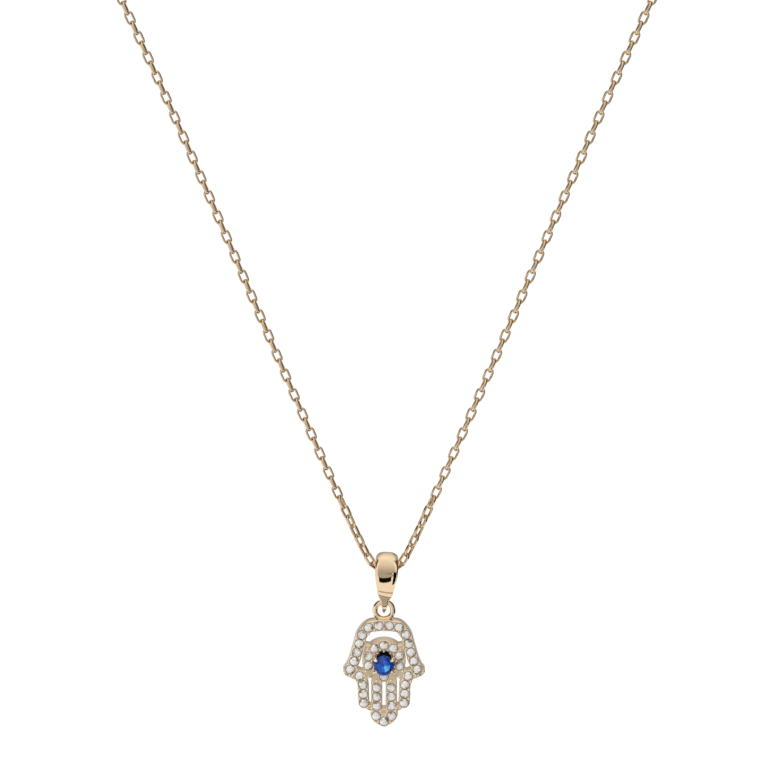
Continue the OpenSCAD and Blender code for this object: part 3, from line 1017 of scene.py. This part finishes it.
@dataclass
class Bail:
    """Tapered bail: a closed loop of domed band, drop-shaped from the side."""

    eye_r: float = 1.225 * MM
    wall: float = 0.50 * MM
    half_width: float = 1.275 * MM
    dome: float = 6.0 * MM
    tip: float = 0.55 * MM
    ring_mid_r: float = Hand.ring_mid_r
    seat_r: float = 0.50 * MM
    end_wall: float = 0.9
    edge: float = 0.08 * MM
    edge_most: float = 0.3
    bow: float = 0.10 * MM
    round_steps: int = 40
    flank_steps: int = 150
    across: int = 24
    fold: float = 3.16 * MM
    fold_lean: float = 0.18
    fold_depth: float = 0.13 * MM
    fold_length: float = 0.09 * MM
    fold_slope: float = 0.20
    groove_depth: float = 0.07 * MM
    groove_width: float = 0.06 * MM
    line_place: float = 2.56 * MM
    line_lean: float = 0.10
    line_depth: float = 0.022 * MM
    line_width: float = 0.045 * MM
    sharp: float = 50.0

    def __post_init__(self) -> None:
        """Takes the two joints' places: the chain's in the bail's eye and the ring's below."""
        self.chain, self.ring = joint_place("bail_swing"), joint_place("hamsa_swing")
        self.drop = float(np.linalg.norm(self.ring - self.chain))

    def side_view(self) -> tuple[Array, Array]:
        """Outer and inner line of the loop from the side, point for point.

        Both lines are drawn alike: a large circle round the chain and a small circle round the
        ring's wire, joined by their common tangents. The outer tangents bow out a little, by a
        parabola.

        Returns:
            Points (y, z) of the outer line and of the inner line, from the chain at the origin.
        """
        seat = self.drop - self.ring_mid_r
        low_r = self.seat_r + self.end_wall * self.wall
        low = seat + self.seat_r + self.tip - low_r

        def loop(top_r: float, end_r: float, depth: float, bulge: float) -> Array:
            """Closed line round a circle at the origin and a smaller one below it.

            Args:
                top_r: radius of the upper circle.
                end_r: radius of the lower circle.
                depth: how far apart their middles are.
                bulge: how far the two tangents bow out in their middle.

            Returns:
                Points (y, z).
            """
            tilt = math.asin((top_r - end_r) / depth)
            over = np.linspace(-tilt, math.pi + tilt, self.round_steps)
            under = np.linspace(math.pi + tilt, 2 * math.pi - tilt, self.round_steps // 2)
            top = np.stack([np.cos(over), np.sin(over)], -1) * top_r
            end = np.stack([np.cos(under), np.sin(under)], -1) * end_r - [0.0, depth]
            t = np.linspace(0.0, 1.0, self.flank_steps + 2)[1:-1, None]
            bow = 4.0 * t * (1.0 - t) * bulge * [1.0, 0.0]
            return np.vstack([top, top[-1] + t * (end[0] - top[-1]) - bow, end,
                              end[-1] + t * (top[0] - end[-1]) + bow])

        return loop(self.eye_r + self.wall, low_r, low, self.bow), loop(self.eye_r, self.seat_r, seat, 0.0)

    def width(self, height: Array) -> Array:
        """Half-width of the band by height: full at the chain, rounded at the top, tapered to a
        narrow strip and a point at the lower end.

        The first table is for the part below the chain and the second for the part above it.
        Their columns are the height as a share of the reach on that side, and the half-width as
        a share of the full one.

        Args:
            height: heights over the chain in metres.

        Returns:
            Half-widths in metres.
        """
        top = self.eye_r + self.wall
        end = self.drop - self.ring_mid_r + self.seat_r + self.tip
        under = np.array([[-1.00, 0.04], [-0.94, 0.14], [-0.88, 0.23], [-0.82, 0.30], [-0.73, 0.35],
                          [-0.70, 0.44], [-0.67, 0.53], [-0.63, 0.60], [-0.58, 0.65], [-0.52, 0.70],
                          [-0.43, 0.76], [-0.33, 0.84], [-0.24, 0.91], [-0.15, 0.97], [-0.08, 1.00]])
        over = np.array([[0.32, 1.00], [0.64, 0.94], [0.82, 0.84], [0.93, 0.66], [1.00, 0.42]])
        marks = np.vstack([under * [end, 1.0], over * [top, 1.0]])
        return np.interp(height, marks[:, 0], marks[:, 1]) * self.half_width

    def relief(self, x: Array, down: Array) -> Array:
        """Height added to the outer face: a smooth step down to the tip's strip, which then
        flares, a groove along that step, and a fine engraved line above it. Groove and line are
        bell curves, exp(-(distance / width)^2), of the distance from their lines, which lean
        across the band.

        Args:
            x: places across the band.
            down: depth of each place below the chain.

        Returns:
            Heights in metres.
        """
        past = down - self.fold - self.fold_lean * x
        step = np.clip(past / self.fold_length, 0.0, 1.0)
        step = step * step * (3.0 - 2.0 * step)
        line = np.exp(-((down - self.line_place - self.line_lean * x) / self.line_width) ** 2)
        groove = np.exp(-(past / self.groove_width) ** 2)
        return (self.fold_slope * np.maximum(past, 0.0) - self.fold_depth * step
                - self.line_depth * line - self.groove_depth * groove)

    def shape(self) -> tuple[Array, Faces]:
        """The band's surface.

        The first parameter runs round the loop. The second runs across the outer face, which
        falls from its middle as a circle of the dome's radius and near its edges as
        1 - sqrt(1 - share^6), round the edge and back along the flat inner face.

        Returns:
            Points and quads.
        """
        outer, inner = self.side_view()
        out = unit(outer - inner)
        thick = np.linalg.norm(outer - inner, axis=1)
        wide = self.width(outer[:, 1])
        share = np.sin(np.linspace(-1.0, 1.0, self.across) * math.pi / 2)
        across = wide[:, None] * share
        fall = self.dome - np.sqrt(self.dome ** 2 - across ** 2)
        edge = np.minimum(self.edge, wide * self.edge_most)[:, None] * (1 - np.sqrt(1 - np.abs(share) ** 6))
        face = thick[:, None] - fall - edge + self.relief(across, -outer[:, 1:])
        inside = self.width(inner[:, 1])[:, None] * share
        x = np.hstack([across, inside[:, ::-1]])
        lift = np.hstack([face, edge[:, ::-1] * 0.5])
        points = grid_points(x, inner[:, :1] + out[:, :1] * lift, inner[:, 1:] + out[:, 1:] * lift)
        return points, grid_faces(x.shape[0], x.shape[1], close_rows=True, close_cols=True)

    def build(self, gold: bpy.types.Material) -> None:
        """Makes the bail, leaned as it hangs, and dresses it.

        Args:
            gold: its finish.
        """
        lean = math.atan2(self.chain[0] - self.ring[0], self.chain[2] - self.ring[2])
        points, faces = self.shape()
        piece = new_mesh("bail_band", points @ turn_about(1, lean).T + self.chain, faces, smooth=True)
        sharpen(piece, self.sharp)
        settle(piece, Body.BAIL, Slot.GOLD, gold, "bail")


@dataclass
class Clasp:
    """Plain closed clasp at the nape: a turned body with an eye at each end."""

    body_d: float = 2.2 * MM
    length: float = 7.0 * MM
    eye_d: float = 0.90 * MM
    wire_d: float = 0.36 * MM
    groove_depth: float = 0.08 * MM
    groove_width: float = 0.12 * MM
    groove_place: float = 0.7

    def build(self, gold: bpy.types.Material) -> None:
        """Makes the clasp and dresses it.

        The body is a capsule along X, whose radius follows a half circle at each end and dips
        in two narrow grooves: r = R minus a groove's depth times a bell curve of x.

        Args:
            gold: its finish.
        """
        low, high = corners("clasp")
        middle = (low + high) / 2
        radius = self.body_d / 2
        t = np.linspace(0.0, math.pi, 33)
        half = self.length / 2 - radius
        left = np.stack([-half - radius * np.cos(t[:16]), radius * np.sin(t[:16])], -1)
        x = np.linspace(-half, half, 61)
        dip = sum(np.exp(-((x - side * self.groove_place * half) / self.groove_width) ** 2)
                  for side in (-1.0, 1.0))
        straight = np.stack([x, radius - self.groove_depth * dip], -1)
        right = np.stack([half - radius * np.cos(t[17:]), radius * np.sin(t[17:])], -1)
        profile = np.vstack([left, straight, right])
        angle = full_turn(40)[None, :]
        points = grid_points(profile[:, :1], profile[:, 1:] * np.cos(angle), profile[:, 1:] * np.sin(angle))
        parts = [(points + middle, grid_faces(len(profile), 40, close_rows=False, close_cols=True)[:, ::-1])]
        wire = circle(((self.eye_d + self.wire_d) / 2, middle[1]), self.wire_d / 2, 14)
        for side in (-1.0, 1.0):
            place = np.array([side * (self.length + self.eye_d) / 2, middle[2]])
            parts.append(lathe(wire, place, turns=40))
        settle(new_mesh("clasp_body", *joined(parts), smooth=True), Body.CHAIN, Slot.GOLD, gold, "clasp")


@dataclass
class Chain:
    """Cable chain of oval links, each turned a quarter against the next.

    The marks in headings and twists give an angle in degrees by the number of the link, counted
    up from the bail: how steeply it rises, and how far it is twisted beyond its quarter turns.
    """

    pitch: float = 1.22 * MM
    width: float = 1.04 * MM
    wire_d: float = 0.26 * MM
    wire_stretch: float = 1.70
    gap: float = 0.02 * MM
    sag: float = 0.30 * MM
    front_links: int = 60
    lowest_roll: float = 135.0
    back_twist: float = 90.0
    bend_steps: int = 8
    sides: int = 8
    heading_marks: Marks = (
        (0, 0), (1, 36), (2, 58), (3, 64), (4, 65), (6, 66), (15, 67), (30, 67.8), (45, 67.2), (60, 65.6))
    twist_marks: Marks = ((0, 45), (5, 42), (10, 0), (60, 0))

    def by_link(self, marks: Marks) -> Array:
        """An angle of each link of one side, in degrees, in straight lines between the marks."""
        return np.interp(np.arange(1, self.front_links + 1), *zip(*marks))

    def front_joints(self) -> Array:
        """Points where the links of the right front side meet, the lowest first.

        Returns:
            Points in metres.
        """
        headings = np.radians(self.by_link(self.heading_marks))
        steps = np.stack([np.cos(headings), np.zeros(self.front_links), np.sin(headings)], -1) * self.pitch
        low = joint_place("bail_swing") - [0.0, 0.0, self.sag]
        return low + [self.pitch / 2, 0.0, 0.0] + np.vstack([np.zeros((1, 3)), np.cumsum(steps, 0)])

    def link(self) -> tuple[Array, Faces]:
        """One link along X: round wire along an oval of two half circles and straight sides.

        Returns:
            Points and quads.
        """
        bend = (self.width - self.wire_d) / 2
        leg = (self.pitch + self.wire_d + self.gap - 2 * bend) / 2
        t = np.linspace(-math.pi / 2, math.pi / 2, self.bend_steps)
        right = np.stack([leg + bend * np.cos(t), np.zeros(len(t)), bend * np.sin(t)], -1)
        left = right * [-1.0, 1.0, -1.0]
        return tube(np.vstack([right, left]), self.wire_d / 2, self.sides, closed=True,
                    up=np.array([0.0, 1.0, 0.0]), stretch=self.wire_stretch)

    def links_along(self, joints: Array, rolls: Array, up: Array) -> tuple[Array, Faces]:
        """Links between neighbouring joints, each rolled about its own length.

        Args:
            joints: points where the links meet.
            rolls: roll of each link in degrees.
            up: direction that a link with no roll lies open to.

        Returns:
            Points and quads.
        """
        along = unit(joints[1:] - joints[:-1])
        depth = unit(up - np.sum(along * up, -1, keepdims=True) * along)
        side = np.cross(along, depth)
        turns = np.stack([along, depth, side], -1) @ turn_about(0, np.radians(rolls))
        points, faces = self.link()
        return copies(points, faces, (joints[1:] + joints[:-1]) / 2, turns)

    def both_sides(self, joints: Array, rolls: Array, up: Array) -> list[tuple[Array, Faces]]:
        """Links along a line of joints on the right, and along its mirror image on the left.

        Args:
            joints: points where the links of the right side meet.
            rolls: roll of each link in degrees.
            up: direction that a link with no roll lies open to.

        Returns:
            Points and quads of the right side and of the left side.
        """
        flipped = (joints * [-1.0, 1.0, 1.0])[::-1]
        return [self.links_along(joints, rolls, up), self.links_along(flipped, rolls[::-1], up)]

    def front(self) -> tuple[Array, Faces]:
        """Links of the front, through the bail and up both sides.

        Returns:
            Points and quads.
        """
        joints, up = self.front_joints(), np.array([0.0, 1.0, 0.0])
        lowest = np.vstack([joints[0] * [-1.0, 1.0, 1.0], joints[0]])
        rolls = 90.0 * (np.arange(self.front_links) % 2) + self.by_link(self.twist_marks)
        return joined([self.links_along(lowest, np.array([self.lowest_roll]), up)]
                      + self.both_sides(joints, rolls, up))

    def back_route(self) -> Array:
        """Line of the hidden stretch on the right side, from the front to the clasp's eye.

        Returns:
            Points in metres.
        """
        chosen = np.array([[38, -81, -66], [45, -74, -48], [50, -62, -30], [50, -46, -16], [44, -28, -7],
                           [32, -13, -2], [16, -3, 1]]) * MM
        low, high = corners("clasp")
        end = np.array([high[0] - Clasp.wire_d + self.wire_d, 0.0, (low[2] + high[2]) / 2])
        return smooth_line(np.vstack([self.front_joints()[-1:], chosen, end]), 40)

    def back(self) -> tuple[Array, Faces]:
        """Links of the hidden stretch on both sides, spaced evenly along the route.

        Returns:
            Points and quads.
        """
        line = self.back_route()
        length = np.concatenate([[0.0], np.cumsum(np.linalg.norm(np.diff(line, axis=0), axis=1))])
        count = round(length[-1] / self.pitch)
        places = np.linspace(0.0, length[-1], count + 1)
        joints = np.stack([np.interp(places, length, line[:, k]) for k in range(3)], -1)
        rolls = 90.0 * (np.arange(count) % 2) + np.linspace(0.0, self.back_twist, count)
        return joined(self.both_sides(joints, rolls, np.array([0.0, -0.6, 0.8])))

    def build(self, gold: bpy.types.Material) -> None:
        """Makes both stretches of the chain and dresses them.

        Args:
            gold: their finish.
        """
        for name, shape, node in (("chain_links_front", self.front(), "chain_front"),
                                  ("chain_links_back", self.back(), "chain_back")):
            settle(new_mesh(name, *shape, smooth=True), Body.CHAIN, Slot.GOLD, gold, node)


@dataclass(frozen=True)
class Glow:
    """Light in the room: its level by bearing, times its level by height, at most the cap.

    Bearings run from straight in front of the pendant at 0 to the right of it at 90, and heights
    from straight down at -90 to straight up at 90, in degrees. Levels go in straight lines
    between them.
    """

    bearings: Marks
    heights: Marks
    cap: float = 2.0


WALLS = Glow(((-180.0, 0.06), (-80.0, 0.02), (-43.0, 0.05), (-36.0, 0.98), (-28.0, 0.95), (-23.0, 0.56),
              (23.0, 0.56), (28.0, 0.95), (34.0, 0.90), (41.0, 0.05), (80.0, 0.02), (180.0, 0.06)),
             ((-90.0, 0.85), (-30.0, 0.85), (-23.0, 0.86), (-14.0, 0.95), (8.0, 1.25), (35.0, 1.60),
              (90.0, 1.90)), cap=1.1)
LOW_SIDES = Glow(((-180.0, 0.28), (-168.0, 0.60), (-120.0, 0.75), (-60.0, 1.0), (-34.0, 1.0),
                  (-28.0, 0.0), (104.0, 0.0), (120.0, 0.45), (166.0, 0.45), (180.0, 0.28)),
                 ((-90.0, 1.0), (2.0, 1.0), (14.0, 0.0), (90.0, 0.0)))
BACK = Glow(((-180.0, 1.0), (-132.0, 1.0), (-122.0, 0.0), (122.0, 0.0), (132.0, 1.0), (180.0, 1.0)),
            ((-90.0, 0.0), (0.0, 0.0), (10.0, 0.40), (20.0, 0.55), (40.0, 0.75), (90.0, 0.85)))
LOW_BACK = Glow(((-180.0, 1.0), (-168.0, 1.0), (-158.0, 0.0), (158.0, 0.0), (168.0, 1.0), (180.0, 1.0)),
                ((-90.0, 0.0), (-26.0, 0.0), (-16.0, 0.5), (-4.0, 0.5), (4.0, 0.0), (90.0, 0.0)))
RIGHT_FLANK = Glow(((-180.0, 0.0), (68.0, 0.0), (76.0, 1.0), (104.0, 1.0), (112.0, 0.0), (180.0, 0.0)),
                   ((-90.0, 0.0), (-9.0, 0.0), (-4.0, 0.38), (5.0, 0.38), (12.0, 0.20), (34.0, 0.20),
                    (44.0, 0.0), (90.0, 0.0)))
CEILING = Glow(((-180.0, 1.0), (-128.0, 1.0), (-118.0, 0.10), (-50.0, 0.10), (-36.0, 1.0), (36.0, 1.0),
                (50.0, 0.10), (118.0, 0.10), (128.0, 1.0), (180.0, 1.0)),
               ((-90.0, 0.0), (16.0, 0.0), (36.0, 0.72), (62.0, 1.0), (90.0, 1.2)))
ZENITH = Glow(((-180.0, 1.0), (180.0, 1.0)), ((-90.0, 0.0), (52.0, 0.0), (66.0, 1.02), (90.0, 1.2)))


@dataclass(frozen=True)
class Card:
    """Small black card that shows as a dark bar in the bail's polish, in degrees as seen from
    the bail: the bearings of its left and right edge from straight ahead, the height of its
    middle, half its height, and its slope."""

    left: float
    right: float
    height: float
    half: float
    slope: float = 0.0


@dataclass
class Studio:
    """Camera at the photo's angle, pale floor, soft room light and dark cards for the metal."""

    elevation: float = 13.8
    distance: float = 900 * MM
    pixels_per_mm: float = 8.93
    frame_pixels: float = 768.0
    chain_pixel: tuple[float, float] = (386.7, 569.8)
    sensor: float = 36.0
    white: float = 1.02
    floor_drop: float = 230 * MM
    floor_front: float = -0.51
    floor_size: tuple[float, float] = (0.70, 0.85)
    floor_grey: float = 0.25
    floor_glow: tuple[float, float] = (0.86, 0.0)
    front_fade: tuple[float, float] = (-0.30, -0.18)
    side_fade: tuple[float, float] = (0.15, 0.07)
    glows: tuple[Glow, ...] = (WALLS, LOW_SIDES, BACK, LOW_BACK, RIGHT_FLANK, CEILING, ZENITH)
    dusk: Colour = (1.0, 0.66, 0.32)
    dusk_until: float = 0.45
    cards: tuple[Card, ...] = (Card(left=-21.0, right=11.5, height=-29.0, half=1.7, slope=-0.03),
                               Card(left=17.5, right=42.0, height=-28.6, half=5.6))
    card_grey: float = 0.01
    card_place: tuple[float, float, float] = (0.0, -1.6 * MM, -1.6 * MM)
    card_distance: float = 300 * MM
    key_place: tuple[float, float, float] = (-0.35, -0.60, 0.25)
    key_size: float = 0.30
    key_power: float = 1.1

    def camera(self) -> None:
        """Places the camera so that the chain's lowest point falls on its pixel of the photo."""
        e = math.radians(self.elevation)
        ahead = np.array([0.0, math.cos(e), -math.sin(e)])
        up = np.array([0.0, math.sin(e), math.cos(e)])
        low = joint_place("bail_swing") - [0.0, 0.0, Chain.sag]
        from_middle = np.array(self.chain_pixel) - self.frame_pixels / 2
        right_shift, down_shift = from_middle / self.pixels_per_mm * MM
        data = bpy.data.cameras.new("photo_camera")
        data.sensor_width = self.sensor
        data.lens = self.pixels_per_mm * self.distance / MM / self.frame_pixels * self.sensor
        data.clip_start, data.clip_end = 0.01, 50.0
        camera = bpy.data.objects.new("photo_camera", data)
        camera.location = low - ahead * self.distance + up * down_shift - [right_shift, 0.0, 0.0]
        camera.rotation_euler = (math.radians(90.0) - e, 0.0, 0.0)
        bpy.context.scene.collection.objects.link(camera)
        bpy.context.scene.camera = camera

    def sheet(self, name: str, points: Array, material: bpy.types.Material) -> bpy.types.Object:
        """Flat sheet for the floor or a card, marked as stage.

        Args:
            name: name of the object.
            points: its four corners in metres, in order.
            material: its finish.

        Returns:
            The object.
        """
        mesh = bpy.data.meshes.new(name)
        mesh.from_pydata(points, [], [[0, 1, 2, 3]])
        mesh.materials.append(material)
        card = bpy.data.objects.new(name, mesh)
        bpy.context.scene.collection.objects.link(card)
        return card

    def floor(self) -> None:
        """Plain pale floor. The camera sees it white, and the metal sees a softer glow from it,
        which fades out towards the pendant over Y and over the distance to either side."""
        tree = NodeTree("pale_floor")
        tree.shader.inputs["Base Color"].default_value = (self.floor_grey,) * 3 + (1.0,)
        tree.shader.inputs["Roughness"].default_value = 1.0
        tree.shader.inputs["Emission Color"].default_value = (1.0, 1.0, 1.0, 1.0)
        rays, place, split = tree.add("LightPath"), tree.add("TexCoord"), tree.add("SeparateXYZ")
        across = tree.add("Math", operation="ABSOLUTE")
        shown = tree.add("MapRange", To_Max=self.white)
        tree.join(place.outputs["Object"], split.inputs["Vector"])
        tree.join(split.outputs["X"], across.inputs[0])
        tree.join(rays.outputs["Is Camera Ray"], shown.inputs["Value"])
        level = shown.outputs["Result"]
        most, least = self.floor_glow
        for source, (near, far) in ((split.outputs["Y"], self.front_fade),
                                    (across.outputs["Value"], self.side_fade)):
            fade = tree.add("MapRange", From_Min=near, From_Max=far, To_Min=most, To_Max=least)
            brighter = tree.add("Math", operation="MAXIMUM")
            tree.join(source, fade.inputs["Value"])
            tree.join(level, brighter.inputs[0])
            tree.join(fade.outputs["Result"], brighter.inputs[1])
            level = brighter.outputs["Value"]
        tree.join(level, tree.shader.inputs["Emission Strength"])
        z = joint_place("hamsa_swing")[2] - self.floor_drop
        x, front = self.floor_size[0] / 2, self.floor_front
        back = front + self.floor_size[1]
        points = np.array([[-x, front, z], [x, front, z], [x, back, z], [-x, back, z]])
        self.sheet("floor", points, tree.material)

    def surroundings(self) -> None:
        """The room as light by direction: everywhere the brightest of the glows, which are the
        walls with bright and dark stretches, low light on the left and the right rear, light
        behind and low behind, a narrow light on the right, the ceiling and the zenith. Where it
        is dark it is warm. The camera itself sees plain white."""
        world = bpy.data.worlds.new("studio")
        bpy.context.scene.world = world
        world.use_nodes = True
        nodes, links = world.node_tree.nodes, world.node_tree.links
        place = nodes.new("ShaderNodeTexCoord")
        split = nodes.new("ShaderNodeSeparateXYZ")
        links.new(place.outputs["Generated"], split.inputs["Vector"])

        def math_node(operation: str, *inputs: object) -> bpy.types.NodeSocket:
            """Adds a Math node.

            Args:
                operation: what it does.
                inputs: sockets to link to it, or numbers to set.

            Returns:
                The socket of its result.
            """
            node = nodes.new("ShaderNodeMath")
            node.operation = operation
            for socket, value in zip(node.inputs, inputs):
                if isinstance(value, float):
                    socket.default_value = value
                else:
                    links.new(value, socket)
            return node.outputs["Value"]

        def ramp(value: bpy.types.NodeSocket, reach: float, stops: Marks) -> bpy.types.NodeSocket:
            """Level by a value, in straight lines between the stops. The ramp holds half of each
            level, and its result is doubled.

            Args:
                value: socket of the value.
                reach: the value runs from minus this to this.
                stops: values, the lowest first, each with its level.

            Returns:
                The socket of the level.
            """
            scale = nodes.new("ShaderNodeMapRange")
            scale.inputs["From Min"].default_value, scale.inputs["From Max"].default_value = -reach, reach
            links.new(value, scale.inputs["Value"])
            curve = nodes.new("ShaderNodeValToRGB")
            elements = curve.color_ramp.elements
            for at, level in stops[1:-1]:
                elements.new((at + reach) / (2 * reach)).color = (level / 2,) * 3 + (1.0,)
            for k in (0, -1):
                elements[k].color = (stops[k][1] / 2,) * 3 + (1.0,)
            links.new(scale.outputs["Result"], curve.inputs["Fac"])
            return math_node("MULTIPLY", curve.outputs["Color"], 2.0)

        x, y, z = (split.outputs[axis] for axis in "XYZ")
        degrees = 180.0 / math.pi
        bearing = math_node("MULTIPLY", math_node("ARCTAN2", x, math_node("MULTIPLY", y, -1.0)), degrees)
        height = math_node("MULTIPLY", math_node("ARCSINE", z), degrees)
        rays = nodes.new("ShaderNodeLightPath")
        level = math_node("MULTIPLY", rays.outputs["Is Camera Ray"], self.white)
        for glow in self.glows:
            light = math_node("MULTIPLY", ramp(bearing, 180.0, glow.bearings),
                              ramp(height, 90.0, glow.heights))
            level = math_node("MAXIMUM", level, math_node("MINIMUM", light, glow.cap))
        tint = nodes.new("ShaderNodeValToRGB")
        warm, plain = tint.color_ramp.elements
        warm.color, plain.color = (*self.dusk, 1.0), (1.0, 1.0, 1.0, 1.0)
        plain.position = self.dusk_until
        links.new(level, tint.inputs["Fac"])
        links.new(tint.outputs["Color"], nodes["Background"].inputs["Color"])
        links.new(level, nodes["Background"].inputs["Strength"])

    def dark_cards(self) -> None:
        """Black cards in front of the bail, which only its polish sees: their corners lie a
        fixed distance away along the directions that a card's angles give."""
        tree = NodeTree("black_card")
        tree.shader.inputs["Base Color"].default_value = (self.card_grey,) * 3 + (1.0,)
        tree.shader.inputs["Roughness"].default_value = 1.0
        tree.shader.inputs["Specular IOR Level"].default_value = 0.0
        seen_from = joint_place("bail_swing") + self.card_place
        for i, card in enumerate(self.cards):
            bearing = np.array([card.left, card.right, card.right, card.left])
            rise = np.radians(card.height + card.slope * bearing + card.half * np.array([-1, -1, 1, 1]))
            bearing = np.radians(bearing)
            rays = grid_points(np.cos(rise) * np.sin(bearing), -np.cos(rise) * np.cos(bearing), np.sin(rise))
            sheet = self.sheet(f"black_card_{i}", seen_from + rays * self.card_distance, tree.material)
            sheet.visible_camera = sheet.visible_diffuse = sheet.visible_shadow = False

    def key_light(self) -> None:
        """Soft square light from the upper left, aimed at the hand, that no polish mirrors."""
        data = bpy.data.lights.new("key", "AREA")
        data.shape, data.energy = "RECTANGLE", self.key_power
        data.size = data.size_y = self.key_size
        lamp = bpy.data.objects.new("key", data)
        lamp.visible_glossy = False
        lamp.location = self.key_place
        aim = Vector(joint_place("hamsa_swing") - self.key_place)
        lamp.rotation_euler = aim.to_track_quat("-Z", "Y").to_euler()
        bpy.context.scene.collection.objects.link(lamp)

    def build(self) -> None:
        """Sets up the camera, the floor, the lights and the world."""
        self.camera()
        self.floor()
        self.surroundings()
        self.dark_cards()
        self.key_light()
        scene = bpy.context.scene
        scene.view_settings.view_transform = "Standard"
        scene.view_settings.look = "None"


def main() -> None:
    """Builds every piece in order."""
    logging.basicConfig(level=logging.INFO, format="%(name)s: %(message)s")
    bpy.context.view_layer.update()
    # The bail's and the chain's golds are darker copies of the gold, painted shade; the grains' and claws'
    # gold is a lighter copy, painted highlight.
    finishes = (PALE_GOLD, SMOOTH_SHADED_GOLD, HIGHLIGHT_GOLD, SHADED_CHAIN_GOLD, CLEAR_STONE, BLUE_STONE)
    gold, smooth_shaded_gold, highlight_gold, shaded_chain_gold, white, blue = (f.material() for f in finishes)
    Chain().build(shaded_chain_gold)
    Clasp().build(gold)
    Bail().build(smooth_shaded_gold)
    Hand().build(gold, highlight_gold, white, blue)
    Studio().build()
    log.info("sizes written")


if __name__ == "__main__":
    main()
